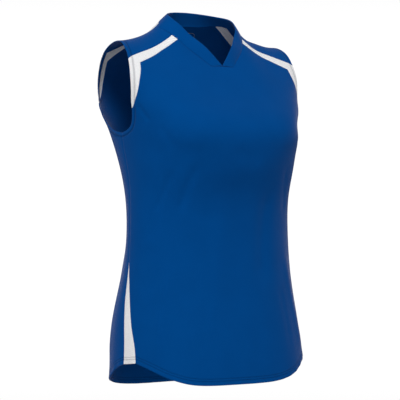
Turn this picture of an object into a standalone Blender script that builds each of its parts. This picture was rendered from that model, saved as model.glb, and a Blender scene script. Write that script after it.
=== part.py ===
"""Sleeveless V-neck sports shirt, filled out as if worn, hollow and open at neck, armholes and hem.

The cloth is one smooth form, worked out from a few rings round the body and from the line of the
shoulders. A point on it has two coordinates: the angle in degrees from the centre plane (0 at the
middle, 90 at the side, positive on the wearer's left), and the run, the way in millimetres down
from the shoulder crest (negative down the front, positive down the back). Seams and edges are
short tables of those two, and each sewn piece is the grid between its seams, given a wall.

The wearer faces -Y with the left arm at +X. The origin is between the shoulders, where they carry
the shirt. Tables are in millimetres and degrees; the meshes are in metres.
"""

import bpy
import numpy as np

COLLECTION = "sleeveless_sports_shirt"
METRE = 0.001  # one millimetre in scene units

# Cloth
WALL = 1.6  # thickness of the knit and its turnings
COLLAR_WALL = 2.2  # the collar is folded double
SEAM_HALF_GAP = 0.15  # each piece stops this far short of its seam line
COLLAR_BULGE = 0.4  # how far the collar band rounds out between seam and neck edge
BAND_SHIFT = 0.43  # how far the collar's cross lines lean, because its ends are cut flat

# The form
CREST_RUN = 30.0  # the run is counted from this height on the body's scale
CHEST_HEIGHT = -120.0  # above this height the cloth bends over to the shoulder
SHOULDER_HALF_WIDTH = 181.0  # half the distance between the shoulder tips
FRONT_RISE, BACK_RISE = (0.41, 0.36), (0.50, 0.50)  # how long the chest stays upright and
FRONT_REACH, BACK_REACH = (14.0, 65.0), (36.0, 54.0)  # the crest level, at the neck and tip
REACH_POWER = 2  # how late the neck's values turn into the tip's
REACH_LIMIT = 0.75  # the level part is never more than this share of the way to the chest
FRONT_FLARE, BACK_FLARE = 11.9, 5.5  # how far the armhole edges stand outwards
SLOPE_STEP = 4.0  # step for the slope of the rings
NORMAL_STEP = 0.2  # step for the slope of the cloth
DEGREE = 2.8  # about one degree round the body, in millimetres
FOLD_FULL = 0.3  # a fold is at full depth for this share of its length, each way
FOLD_FADE = 0.15  # and fades out over this share

# Cross sections of the body: half width along X, front and back along Y, the widest place along
# Y, and the power of the rounding (2 is an ellipse, more is squarer).
RINGS = """
height half_width front back equator round
-640   185        -173  101  -37     2.30
-575   180        -165   96  -32     2.30
-505   175        -152   86  -27     2.25
-430   164        -139   68  -31     2.20
-350   158        -132   55  -34     2.20
-275   158        -142   65  -31     2.25
-240   161.5      -155   75  -28     2.30
-205   166        -162   88  -22     2.36
-178   170        -162  100  -19     2.45
-150   176        -150  104  -13     2.60
-120   184        -125  105   -6     2.90
 -90   190        -100  102   -1     3.00
"""

# The line along the top of the shoulders, from the middle out.
CREST = """
across right left
  0     52    52
 35     48    48
 65     31    31
 80     16    16
100      2.1   0.3
120     -6.5  -6.3
140    -12.2 -11.3
160    -15.8 -13.3
185    -17.2 -11.5
"""

# Soft forms that lie on the cloth: the place of the middle, the half sizes and the height.
MOUNDS = """
angle run  half_angle half_run height
 31   -205 20         44        5.0
-31   -205 20         44        5.0
 36   -262 20         28       -2.5
-36   -262 20         28       -2.5
 68    168 13         24        3.5
-68    168 13         24        3.5
"""

# Large folds of the hanging cloth: the two ends, the half width and the depth.
FOLDS = """
angle_a run_a angle_b run_b half_width depth
-33     -262  -44     -345   9         -2.2
 34     -262   45     -350  10         -2.0
 20     -300   14     -470  16         -2.5
-12     -330  -20     -560  18          1.6
 44     -420   50     -600  15          2.4
-50     -430  -58     -600  16          2.2
-30      300  -24      560  20         -2.4
 28      290   22      570  22         -2.6
-62      400  -66      610  16          2.2
 60      390   65      605  15          2.4
  4      330    2      600  24          1.8
"""

# Seams and edges on the wearer's left; the right side mirrors them.
ARMHOLE_FRONT = """
angle run
90.3  -207
84.6  -201
79.0  -186
74.5  -162
66.6  -124
61.8   -90
61.0   -64
64.5   -30
64.5     0
"""
ARMHOLE_BACK = """
angle run
89.7   207
80.5   202
71.5   191.5
66.3   180
62.3   162
57.5   145.5
54.3   124
53.4   101
55.2    78
58.2    54
62.0    25
64.5     0
"""
INSERT_FRONT_TOP = """
angle run
15.2  -54.3
20.8  -52.9
25.0  -53.5
30.0  -55.0
36.0  -57.1
42.5  -59.4
51.0  -63.5
57.0  -67.3
61.2  -72.0
"""
INSERT_FRONT_LOWER = """
angle run
12.9  -67.6
18.5  -65.6
23.0  -65.9
28.0  -68.4
35.5  -73.4
42.5  -77.4
48.6  -81.2
"""
INSERT_FRONT_INNER = """
angle run
48.6  -81.2
49.3  -89
53.0  -105.9
59.6  -127.8
67.1  -149
74.8  -166.9
"""
INSERT_BACK_TOP = """
angle run
16.6   13
22.1   17
28.0   24
34.0   32.5
40.0   41
48.0   52
57.0   59
"""
INSERT_BACK_LOWER = """
angle run
12.2   34
18.0   36.5
24.0   41
30.0   48.5
37.0   61
44.6   76.4
"""
INSERT_BACK_INNER = """
angle run
44.6   76.4
43.6   90
42.8   105
44.0   120
49.0   139
58.5   152
"""
COLLAR_SEAM_FRONT = """
angle run
 2.2  -109.6
 4.2  -102
 8.8   -86.5
12.9   -67.6
"""
COLLAR_SEAM_CREST = """
angle run
15.2  -54.3
18.3  -30
18.8    0
16.6   13
"""
COLLAR_SEAM_BACK = """
angle run
12.2   34
 8.5   44
 4.0   52.5
 0.0   55.5
"""
SIDE_SEAM = """
angle run
90.3  207
91.2  228
92.0  268
94.0  323
95.4  370
95.0  405
93.4  430
"""
GODET_FRONT = """
angle run
93.4  430
87.6  478
83.2  512
79.8  545
77.2  572
76.5  601
"""
GODET_BACK = """
angle run
93.4  430
92.0  470
90.0  504
88.5  529
87.5  563
88.0  604
"""
# The hem's run at each angle; the front hangs a little higher on the wearer's left.
HEM_FRONT = """
angle right left
 0    637   637
12    637   636
24    637   631.5
36    634.4 622
46    628   611
56    619   603.5
66    609   600
76.5  601   600
"""
HEM_BACK = """
angle run
 0    655.5
15    655
30    652
42    647.5
53    641.5
63    636
72    628.5
81    616.5
92    604
"""
# The neck edge, from the V point round to the middle of the back.
NECK_EDGE = """
across forward height
 0     -79.2   -57.8
12.5   -74.6   -43
35     -61     -17
48     -48      -3
59     -37.5    12
64.7   -25      22.5
66     -11      31
58       9      37.2
45      22.5    40.8
25      33      43.8
 0      36.5    45
"""

# Grid steps along each seam
STEPS = {
    "v_base": 2, "collar_front": 5, "insert_end": 2, "insert": 7, "drop": 5, "crest": 8,
    "collar_back": 5, "armhole": 6, "side": 13, "godet": 9, "band": 3, "godet_width": 3,
}
FINE_STEPS = 400  # steps along an armhole edge before it is split
INSERT_TIP = 4  # the inserts' tips are this many fine steps wide
GODET_TIP = 0.3  # the godet starts at this share of its first row

COLOURS = {"blue": (0.003, 0.062, 0.260), "white": (0.83, 0.84, 0.86)}
ROUGHNESS = 0.62


def table(text):
    """The named columns of a table."""
    head, *rows = [line.split() for line in text.strip().splitlines()]
    values = np.array([[float(value) for value in row] for row in rows])
    return dict(zip(head, values.T))


def smooth(knots, values, places):
    """A natural cubic spline through the knots, read at the places."""
    knots, values = np.asarray(knots, float), np.asarray(values, float)
    places = np.asarray(places, float)
    count, gap = len(knots), np.diff(knots)
    system, right = np.eye(count), np.zeros(count)
    for i in range(1, count - 1):
        system[i, i - 1:i + 2] = gap[i - 1], 2 * (gap[i - 1] + gap[i]), gap[i]
        slopes = (values[i + 1] - values[i]) / gap[i] - (values[i] - values[i - 1]) / gap[i - 1]
        right[i] = 6 * slopes
    bend = np.linalg.solve(system, right)
    i = np.clip(np.searchsorted(knots, places) - 1, 0, count - 2)
    after, before, width = knots[i + 1] - places, places - knots[i], gap[i]
    cubic = (bend[i] * after**3 + bend[i + 1] * before**3) / (6 * width)
    line_a = (values[i] / width - bend[i] * width / 6) * after
    line_b = (values[i + 1] / width - bend[i + 1] * width / 6) * before
    return cubic + line_a + line_b


def curve(text, steps, start=0.0, end=1.0):
    """Points spread evenly along a smooth line through a table's rows."""
    columns = np.stack(list(table(text).values()), 1)
    chord = np.linalg.norm(np.diff(columns, axis=0), axis=1)
    knots = np.concatenate([[0], np.cumsum(chord)]) / chord.sum()
    places = np.linspace(start, end, steps + 1)
    return np.stack([smooth(knots, columns[:, i], places) for i in range(columns.shape[1])], 1)


RING_COLUMNS, CREST_COLUMNS = table(RINGS), table(CREST)
MOUND_COLUMNS, FOLD_COLUMNS = table(MOUNDS), table(FOLDS)


def ring(around, height):
    """A point on the body: around in radians from the front middle, at a height."""
    sizes = [smooth(RING_COLUMNS["height"], RING_COLUMNS[name], height)
             for name in ("half_width", "front", "back", "equator", "round")]
    half_width, front, back, equator, power = sizes
    sine, cosine = np.sin(around), np.cos(around)
    x = half_width * np.sign(sine) * np.abs(sine) ** (2 / power)
    depth = np.where(cosine > 0, equator - front, back - equator)
    y = equator - depth * np.sign(cosine) * np.abs(cosine) ** (2 / power)
    return np.stack([x, y, height + 0 * x], -1)


def form(angle, run):
    """The smooth form: rings up to the chest, then a bend over to the shoulder crest."""
    angle, run = np.broadcast_arrays(np.asarray(angle, float), np.asarray(run, float))
    front = run < 0
    turn = np.radians(angle)
    around = np.where(front, turn, np.pi - turn)
    height = CREST_RUN - np.abs(run)
    body = ring(around, np.minimum(height, CHEST_HEIGHT))
    base = ring(around, CHEST_HEIGHT + 0 * around)
    above = ring(around, CHEST_HEIGHT + SLOPE_STEP + 0 * around)
    below = ring(around, CHEST_HEIGHT - SLOPE_STEP + 0 * around)
    lean = (above - below) / (2 * SLOPE_STEP)
    chest_half_width = smooth(RING_COLUMNS["height"], RING_COLUMNS["half_width"], CHEST_HEIGHT)
    share = base[..., 0] / chest_half_width
    x = SHOULDER_HALF_WIDTH * share
    right, left = [smooth(CREST_COLUMNS["across"], CREST_COLUMNS[side], np.abs(x))
                   for side in ("right", "left")]
    z = np.where(x < 0, right, left)
    crest = np.stack([x, 0 * x, z], -1)
    out = np.abs(share) ** REACH_POWER
    rise, reach = [np.where(front, before[0] + (before[1] - before[0]) * out,
                            behind[0] + (behind[1] - behind[0]) * out)
                   for before, behind in ((FRONT_RISE, BACK_RISE), (FRONT_REACH, BACK_REACH))]
    rise = rise * (z - CHEST_HEIGHT)
    reach = np.minimum(reach, REACH_LIMIT * np.abs(base[..., 1]))
    low_handle = base + rise[..., None] * lean
    high_handle = crest + np.stack([0 * x, np.where(front, -reach, reach), 0 * x], -1)
    t = np.clip((height - CHEST_HEIGHT) / (CREST_RUN - CHEST_HEIGHT), 0, 1)[..., None]
    bend = ((1 - t) ** 3 * base + 3 * (1 - t) ** 2 * t * low_handle
            + 3 * (1 - t) * t**2 * high_handle + t**3 * crest)
    flare = np.where(front, FRONT_FLARE, BACK_FLARE) * np.sign(share) * share**4
    bend[..., 0] += flare * (4 * t[..., 0] * (1 - t[..., 0])) ** 2
    return np.where((height > CHEST_HEIGHT)[..., None], bend, body)


def relief(angle, run):
    """Height of the soft mounds and large folds over the form."""
    total = np.zeros(np.broadcast(angle, run).shape)
    mounds = zip(*MOUND_COLUMNS.values())
    for middle, at_run, half_angle, half_run, height in mounds:
        spread = ((angle - middle) / half_angle) ** 2 + ((run - at_run) / half_run) ** 2
        total = total + height * np.exp(-spread)
    folds = zip(*FOLD_COLUMNS.values())
    for angle_a, run_a, angle_b, run_b, half_width, depth in folds:
        along = np.array([(angle_b - angle_a) * DEGREE, run_b - run_a])
        dx, dy = (angle - angle_a) * DEGREE, run - run_a
        share = (dx * along[0] + dy * along[1]) / (along @ along)
        aside = (dx * along[1] - dy * along[0]) / np.sqrt(along @ along)
        beyond = np.clip(np.abs(share - 0.5) - FOLD_FULL, 0, None)
        ends = np.exp(-((beyond / FOLD_FADE) ** 2))
        total = total + depth * ends * np.exp(-((aside / half_width) ** 2))
    return total


def normals(angle, run):
    """Outward normals of the smooth form."""
    across = form(angle + NORMAL_STEP, run) - form(angle - NORMAL_STEP, run)
    down = form(angle, run + 2 * NORMAL_STEP) - form(angle, run - 2 * NORMAL_STEP)
    normal = np.cross(across, down)
    normal /= np.linalg.norm(normal, axis=-1, keepdims=True)
    inside = np.array([0.0, 0.0, CHEST_HEIGHT])
    away = form(angle, run) - inside
    away[..., 2] = np.maximum(away[..., 2], 0)
    return normal * np.sign((normal * away).sum(-1, keepdims=True))


def coons(bottom, top, left, right):
    """The grid between four edges: columns follow bottom and top, rows follow left and right."""
    u = np.linspace(0, 1, len(bottom))[:, None, None]
    v = np.linspace(0, 1, len(left))[None, :, None]
    ruled_up = (1 - v) * bottom[:, None] + v * top[:, None]
    ruled_across = (1 - u) * left[None] + u * right[None]
    corners = ((1 - u) * (1 - v) * bottom[0] + u * (1 - v) * bottom[-1]
               + (1 - u) * v * top[0] + u * v * top[-1])
    return ruled_up + ruled_across - corners


def mirrored(points):
    """The same points on the wearer's right, in the opposite order."""
    return points[::-1] * np.array([-1, 1])


def inset(grid, gap):
    """Draws the outer rows and columns of a grid in, to leave the seam's gap."""
    def drawn(edge, inner):
        way = inner - edge
        return edge + gap * way / np.linalg.norm(way, axis=-1, keepdims=True)

    grid = grid.copy()
    first, last = drawn(grid[0], grid[1]), drawn(grid[-1], grid[-2])
    grid[0], grid[-1] = first, last
    first, last = drawn(grid[:, 0], grid[:, 1]), drawn(grid[:, -1], grid[:, -2])
    grid[:, 0], grid[:, -1] = first, last
    return grid


def wall_mesh(name, outer, inner):
    """A closed wall between two matching grids."""
    columns, rows = outer.shape[:2]
    count = columns * rows
    index = np.arange(count).reshape(columns, rows)
    quads = np.stack([index[:-1, :-1], index[1:, :-1], index[1:, 1:], index[:-1, 1:]], -1)
    quads = quads.reshape(-1, 4)
    rim = np.concatenate([index[:-1, 0], index[-1, :-1], index[:0:-1, -1], index[0, :0:-1]])
    ahead = np.roll(rim, -1)
    sides = np.stack([ahead, rim, rim + count, ahead + count], -1)
    faces = np.concatenate([quads, quads[:, ::-1] + count, sides])
    points = np.concatenate([outer.reshape(-1, 3), inner.reshape(-1, 3)]) * METRE
    corner = outer[1, 1] - outer[1, 0], outer[1, 1] - outer[0, 1]
    if np.cross(corner[1], corner[0]) @ (outer[1, 1] - inner[1, 1]) < 0:
        faces = faces[:, ::-1]
    mesh = bpy.data.meshes.new(name)
    mesh.from_pydata(points.tolist(), [], faces.tolist())
    mesh.update()
    return mesh


def material(name, colour):
    """A knit cloth of one colour."""
    cloth = bpy.data.materials.new(name)
    cloth.use_nodes = True
    shader = cloth.node_tree.nodes["Principled BSDF"]
    shader.inputs["Base Color"].default_value = (*colour, 1)
    shader.inputs["Roughness"].default_value = ROUGHNESS
    shader.inputs["Metallic"].default_value = 0.0
    return cloth


def add_piece(collection, name, outer, inner, colour):
    """One sewn piece as an object of its own."""
    mesh = wall_mesh(name, outer, inner)
    mesh.materials.append(material(name, COLOURS[colour]))
    piece = bpy.data.objects.new(name, mesh)
    collection.objects.link(piece)
    return piece


def add_cloth(collection, name, seams, colour):
    """A panel from its grid of angle and run."""
    angle, run = seams[..., 0], seams[..., 1]
    normal = normals(angle, run)
    outer = form(angle, run) + relief(angle, run)[..., None] * normal
    outer = inset(outer, SEAM_HALF_GAP)
    return add_piece(collection, name, outer, outer - WALL * normal, colour)


def hem_points(text, angles, column):
    """The hem at the given angles."""
    columns = table(text)
    return np.stack([angles, smooth(columns["angle"], columns[column], np.abs(angles))], 1)


def join(*curves):
    """Curves end to end, each starting where the last one stops."""
    return np.concatenate([curves[0]] + [points[1:] for points in curves[1:]])


def seam_lines():
    """Every seam of the wearer's left side, sampled once so that its two pieces match."""
    n = STEPS
    corner = table(COLLAR_SEAM_FRONT)
    v_corner = np.array([corner["angle"][0], corner["run"][0]])
    lines = {
        "v_base": np.linspace([0, v_corner[1]], v_corner, n["v_base"] + 1),
        "collar_front": curve(COLLAR_SEAM_FRONT, n["collar_front"]),
        "collar_crest": curve(COLLAR_SEAM_CREST, n["crest"]),
        "collar_back": curve(COLLAR_SEAM_BACK, n["collar_back"]),
        "front_top": curve(INSERT_FRONT_TOP, n["insert"]),
        "front_lower": curve(INSERT_FRONT_LOWER, n["insert"]),
        "front_inner": curve(INSERT_FRONT_INNER, n["drop"]),
        "back_top": curve(INSERT_BACK_TOP, n["insert"]),
        "back_lower": curve(INSERT_BACK_LOWER, n["insert"]),
        "back_inner": curve(INSERT_BACK_INNER, n["drop"]),
        "side": curve(SIDE_SEAM, n["side"]),
        "godet_front": curve(GODET_FRONT, n["godet"]),
        "godet_back": curve(GODET_BACK, n["godet"]),
    }
    lines.update(armhole_lines("front", ARMHOLE_FRONT, lines["front_inner"], lines["front_top"]))
    lines.update(armhole_lines("back", ARMHOLE_BACK, lines["back_inner"], lines["back_top"]))
    ends = {"front": ("collar_front", "collar_crest"), "back": ("collar_crest", "collar_back")}
    for side, (before, after) in ends.items():
        end = np.linspace(lines[before][-1], lines[after][0], n["insert_end"] + 1)
        lines[side + "_end"] = end
    return lines


def armhole_lines(side, text, inner, top):
    """The armhole edge from the side seam up, split where the insert's tip and corner meet it."""
    fine = curve(text, FINE_STEPS)
    tip = np.argmin(np.linalg.norm(fine - inner[-1], axis=1))
    corner = np.argmin(np.linalg.norm(fine - top[-1], axis=1))
    inner[-1], top[-1] = fine[tip], fine[corner]
    n = STEPS
    under = np.linspace(0, tip, n["armhole"] + 1).round().astype(int)
    beside = np.linspace(tip + INSERT_TIP, corner, n["drop"] + 1).round().astype(int)
    over = np.linspace(corner, FINE_STEPS, n["crest"] // 2 + 1).round().astype(int)
    return {
        side + "_armhole_under": fine[under],
        side + "_armhole_beside": fine[beside],
        side + "_armhole_over": fine[over],
    }


def both_sides(half):
    """A line from the wearer's right to the left, from its left half that starts at the middle."""
    return join(mirrored(half), half)


def front_panel(lines):
    """The front: hem to inserts, V base and collar, side seam to side seam."""
    top = join(lines["v_base"], lines["collar_front"], lines["front_lower"])
    down = np.array([1, -1])
    godet, side = lines["godet_front"] * down, lines["side"] * down
    edge = join(godet[::-1], side[::-1], lines["front_armhole_under"], lines["front_inner"][::-1])
    angles = top[:, 0] * godet[-1, 0] / top[-1, 0]
    left_hem = hem_points(HEM_FRONT, angles, "left") * down
    right_hem = mirrored(hem_points(HEM_FRONT, angles, "right") * down)
    hem = join(right_hem, left_hem)
    right_edge = edge * np.array([-1, 1])
    right_edge[0], edge[0] = hem[0], hem[-1]
    return coons(hem, both_sides(top), right_edge, edge)


def back_panel(lines):
    """The back, the same way; its angles at the side are counted from the back."""
    half_turn = np.array([180.0, 0.0])
    top = join(lines["collar_back"][::-1], lines["back_lower"])
    turned = np.array([-1, 1])
    godet = lines["godet_back"] * turned + half_turn
    side = lines["side"] * turned + half_turn
    edge = join(godet[::-1], side[::-1], lines["back_armhole_under"], lines["back_inner"][::-1])
    angles = top[:, 0] * godet[-1, 0] / top[-1, 0]
    half_hem = hem_points(HEM_BACK, angles, "run")
    hem = both_sides(half_hem)
    right_edge = edge * turned
    right_edge[0], edge[0] = hem[0], hem[-1]
    return coons(hem, both_sides(top), right_edge, edge)


def yoke(lines):
    """The saddle over the shoulder, between the front and back inserts."""
    outer = join(lines["front_armhole_over"], lines["back_armhole_over"][::-1])
    return coons(lines["front_top"], lines["back_top"], lines["collar_crest"], outer)


def shoulder_insert(lines, side):
    """The white angle: collar to armhole corner, then down the armhole to its tip."""
    outer = join(lines[side + "_top"], lines[side + "_armhole_beside"][::-1])
    inner = join(lines[side + "_lower"], lines[side + "_inner"])
    end = lines[side + "_end"]
    if side == "back":
        end = end[::-1]
    tip = np.linspace(inner[-1], outer[-1], STEPS["insert_end"] + 1)
    return coons(inner, outer, end, tip)


def side_insert(lines):
    """The white godet let into the lower end of the side seam."""
    front, back = lines["godet_front"].copy(), lines["godet_back"].copy()
    for edge in (front, back):
        edge[0] += GODET_TIP * (edge[1] - edge[0])
    share = np.linspace(0, 1, STEPS["godet_width"] + 1)[:, None, None]
    return ((1 - share) * front + share * back) * np.array([1, -1])


def collar_band(lines):
    """The neck band's outer grid: a loft from its seam on the shirt up to the neck edge."""
    seam = join(lines["collar_front"], lines["front_end"], lines["collar_crest"],
                lines["back_end"], lines["collar_back"])
    low = form(seam[:, 0], seam[:, 1])
    chord = np.linalg.norm(np.diff(low, axis=0), axis=1)
    share = np.concatenate([[0], np.cumsum(chord)]) / chord.sum()
    share = share + BAND_SHIFT * share * (1 - share)
    fine = curve(NECK_EDGE, FINE_STEPS)
    high = np.stack([np.interp(share * FINE_STEPS, np.arange(FINE_STEPS + 1), fine[:, i])
                     for i in range(3)], 1)
    turned = np.array([-1, 1, 1])
    low = np.concatenate([low, low[-2::-1] * turned])
    high = np.concatenate([high, high[-2::-1] * turned])
    rows = np.linspace(0, 1, STEPS["band"] + 1)[None, :, None]
    return (1 - rows) * low[:, None] + rows * high[:, None], rows


def grid_normals(grid):
    """Normals of a band round the neck, away from the neck's middle."""
    along, up = np.gradient(grid, axis=0), np.gradient(grid, axis=1)
    normal = np.cross(along, up)
    normal /= np.linalg.norm(normal, axis=-1, keepdims=True)
    middle = grid.mean(axis=(0, 1))
    return normal * np.sign(((grid - middle) * normal).sum())


def add_collar(collection, lines):
    """The collar: a doubled band that rounds out a little."""
    flat, rows = collar_band(lines)
    normal = grid_normals(flat)
    outer = inset(flat + COLLAR_BULGE * np.sin(np.pi * rows) * normal, SEAM_HALF_GAP)
    add_piece(collection, "collar", outer, outer - COLLAR_WALL * normal, "blue")


def side_copies(grid):
    """A left piece's grid and its mirror image, by side."""
    return {"left": grid, "right": grid * np.array([-1, 1])}


def clear_scene():
    """Takes away whatever the file starts with."""
    for item in list(bpy.data.objects):
        bpy.data.objects.remove(item, do_unlink=True)


def build():
    """Makes every piece of the shirt."""
    clear_scene()
    collection = bpy.data.collections.new(COLLECTION)
    bpy.context.scene.collection.children.link(collection)
    lines = seam_lines()
    add_cloth(collection, "front_panel", front_panel(lines), "blue")
    add_cloth(collection, "back_panel", back_panel(lines), "blue")
    for side, grid in side_copies(yoke(lines)).items():
        add_cloth(collection, f"yoke_{side}", grid, "blue")
    for place in ("front", "back"):
        for side, grid in side_copies(shoulder_insert(lines, place)).items():
            add_cloth(collection, f"shoulder_insert_{place}_{side}", grid, "white")
    for side, grid in side_copies(side_insert(lines)).items():
        add_cloth(collection, f"side_insert_{side}", grid, "white")
    add_collar(collection, lines)


build()
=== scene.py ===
"""Sleeveless V-neck sports shirt, filled out as if worn and open at neck, armholes and hem.

A place on the cloth has two coordinates: the angle in degrees from the centre plane, positive on
the wearer's left, and the run, the way in millimetres down from the top of the shoulder (negative
down the front, positive down the back). Tables are in millimetres and degrees, meshes in metres.
The wearer faces -Y with the left arm at +X, and the origin is between the shoulders.
"""

import bpy
import numpy as np
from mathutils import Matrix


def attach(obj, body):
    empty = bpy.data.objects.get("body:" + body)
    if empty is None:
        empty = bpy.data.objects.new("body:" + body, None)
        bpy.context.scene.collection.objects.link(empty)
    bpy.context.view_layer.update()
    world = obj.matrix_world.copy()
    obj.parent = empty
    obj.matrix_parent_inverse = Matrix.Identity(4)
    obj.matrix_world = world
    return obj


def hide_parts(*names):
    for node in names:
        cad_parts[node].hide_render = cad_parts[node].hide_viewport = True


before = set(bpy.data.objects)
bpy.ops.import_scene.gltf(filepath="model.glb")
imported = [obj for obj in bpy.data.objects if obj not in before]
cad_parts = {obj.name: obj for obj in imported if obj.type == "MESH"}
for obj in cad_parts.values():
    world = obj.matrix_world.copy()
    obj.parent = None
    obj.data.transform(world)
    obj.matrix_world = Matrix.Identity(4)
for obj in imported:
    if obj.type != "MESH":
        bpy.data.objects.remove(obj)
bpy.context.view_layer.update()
METRE = 0.001  # one millimetre


# ---- Front panel ---------------------------------------------------------------------------
# One piece of smooth polyester jersey, from the white inserts down to the curved hem. It is cut
# in at the waist and eased over the bust, joined to the back at the sides by overlocked seams,
# and its armhole and hem edges are turned in and stitched.

# Cross sections of the worn shirt: half width along X, front and back along Y, the widest place
# along Y, and the power of the rounding (2 is an ellipse, more is squarer).
RINGS = """
height half_width front back equator round
-640   185        -173  101  -37     2.30
-575   180        -165   96  -32     2.30
-505   175        -152   86  -27     2.25
-430   164        -139   68  -31     2.20
-350   158        -132   55  -34     2.20
-275   158        -142   65  -31     2.25
-240   161.5      -155   75  -28     2.30
-205   166        -162   88  -22     2.36
-178   170        -162  100  -19     2.45
-150   176        -150  104  -13     2.60
-120   184        -125  105   -6     2.90
 -90   190        -100  102   -1     3.00
"""
# The line along the top of the shoulders, from the middle out; the wearer's left one stands a
# little higher at its tip.
CREST = """
across right left
  0     52    52
 35     48    48
 65     31    31
 80     16    16
100      2.1   0.3
120     -6.5  -6.3
140    -12.2 -11.3
160    -15.8 -13.3
185    -17.2 -11.5
"""
CREST_RUN = 30.0  # the run is counted from this height on the body's scale
CHEST_HEIGHT = -120.0  # above this height the cloth bends over to the shoulder
SHOULDER_HALF_WIDTH = 181.0
FRONT_RISE, BACK_RISE = (0.41, 0.36), (0.50, 0.50)  # how long the chest stays upright and
FRONT_REACH, BACK_REACH = (14.0, 65.0), (36.0, 54.0)  # the crest level, at the neck and tip
REACH_POWER = 2  # how late the neck's values turn into the tip's
REACH_LIMIT = 0.75  # the level part is never more than this share of the way to the chest
FRONT_FLARE, BACK_FLARE = 11.9, 5.5  # how far the armhole edges stand outwards
SLOPE_STEP = 4.0
NORMAL_STEP = 0.2
DEGREE = 2.8  # about one degree round the body, in millimetres

# Soft forms on the cloth: the middle, the half sizes and the height.
MOUNDS = """
angle run  half_angle half_run height
 31   -205 20         44        5.0
-31   -205 20         44        5.0
 36   -262 20         28       -2.5
-36   -262 20         28       -2.5
 68    168 13         24        3.5
-68    168 13         24        3.5
 40   -236 14         14       -1.0
-40   -240 14         14       -1.0
  0   -246 10         16       -0.8
 60   -193 15         17       -6.5
"""
# Folds and creases of the hanging cloth: the two ends, the half width and the depth.
FOLDS = """
angle_a run_a angle_b run_b half_width depth
-33     -262  -44     -345   9         -2.2
 34     -262   45     -350  12         -1.2
 20     -300   14     -470  16         -2.5
-12     -330  -20     -560  18          1.6
 44     -420   50     -600  15          2.4
-50     -430  -58     -600  16          2.2
-30      300  -24      560  20         -2.4
 28      290   22      570  22         -2.6
-62      400  -66      610  16          2.2
 60      390   65      605  15          2.4
  4      330    2      600  24          1.8
-69     -158  -64     -190   5         -1.5
 70     -160   66     -187   5         -1.3
-58     -196  -47     -236   8         -1.0
 57     -199   49     -232   8         -0.9
-50     -272  -64     -345   7         -1.5
-64     -345  -69     -395  10         -1.0
 -8     -236    6     -262  12         -0.8
-22     -480  -28     -590   9         -0.6
  8     -500    4     -610  10         -0.5
 30     -470   32     -590   8         -0.6
 64      160   56      205   6         -1.0
-63      162  -55      208   6         -1.1
 40      215   28      262   9         -0.9
-42      220  -26      255   9         -0.8
 12      262   -4      290  10         -0.7
 46      470   50      600   9         -0.7
-40      480  -44      610   9         -0.6
"""
FOLD_FULL = 0.3  # a fold is at full depth for this share of its length, each way
FOLD_FADE = 0.15

# Seams and edges on the wearer's left; the right side mirrors them.
ARMHOLE_FRONT = """
angle run
90.3  -207
84.6  -201
79.0  -186
74.5  -162
66.6  -124
61.8   -90
61.0   -64
64.5   -30
64.5     0
"""
ARMHOLE_BACK = """
angle run
89.7   207
80.5   202
71.5   191.5
66.3   180
62.3   162
57.5   145.5
54.3   124
53.4   101
55.2    78
58.2    54
62.0    25
64.5     0
"""
INSERT_FRONT_TOP = """
angle run
15.2  -54.3
20.8  -52.9
25.0  -53.5
30.0  -55.0
36.0  -57.1
42.5  -59.4
51.0  -63.5
57.0  -67.3
61.2  -72.0
"""
INSERT_FRONT_LOWER = """
angle run
12.9  -67.6
18.5  -65.6
23.0  -65.9
28.0  -68.4
35.5  -73.4
42.5  -77.4
48.6  -81.2
"""
INSERT_FRONT_INNER = """
angle run
48.6  -81.2
49.3  -89
53.0  -105.9
59.6  -127.8
67.1  -149
74.8  -166.9
"""
COLLAR_SEAM_FRONT = """
angle run
 2.2  -109.6
 4.2  -102
 8.8   -86.5
12.9   -67.6
"""
SIDE_SEAM = """
angle run
90.3  207
91.2  228
92.0  268
94.0  323
95.4  370
95.0  405
93.4  430
"""
GODET_FRONT = """
angle run
93.4  430
87.6  478
83.2  512
79.8  545
77.2  572
76.5  601
"""
# The hem's run at each angle; the front hangs a little higher on the wearer's left.
HEM_FRONT = """
angle right left
 0    637   637
12    637   636
24    637   631.5
36    634.4 622
46    628   611
56    619   603.5
66    609   600
76.5  601   600
"""
STEPS = {
    "v_base": 6, "collar_front": 16, "insert_end": 6, "insert": 40, "drop": 26, "crest": 26,
    "collar_back": 16, "armhole": 24, "side": 66, "godet": 46, "godet_width": 10,
}
FINE_STEPS = 2000  # steps along an armhole edge before it is split
INSERT_TIP = 10  # the inserts' tips are this many fine steps wide
V_BASE_RUN = -109.0  # the level seam under the V, in the middle
EDGE_STEPS = (0.12, 0.3, 0.6)  # extra columns and rows close to every edge, in steps

CLOTH = 0.8  # thickness of the jersey
TURNING = 0.7  # the hem's turned-in layer
TURNING_WIDTH = 13.0
TURNING_EASE = 1.5  # the turned layer ends over this width
SEAM_DIP, SEAM_SOFT = 0.5, 1.4  # the cloth rolls in at a seam
EDGE_DIP, EDGE_SOFT = 0.45, 0.5  # and rounds over at a free edge
FAR = 1000.0  # stands for no edge near
RIM_ANGLE = 55.0  # edges bent more than this stay sharp
HEM_WAVE, HEM_WAVE_LENGTH, HEM_WAVE_SOFT = 0.35, 23.0, 9.0  # the stitched hem's slight flutter


def table(text):
    """The named columns of a table."""
    head, *rows = [line.split() for line in text.strip().splitlines()]
    values = np.array([[float(value) for value in row] for row in rows])
    return dict(zip(head, values.T))


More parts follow.
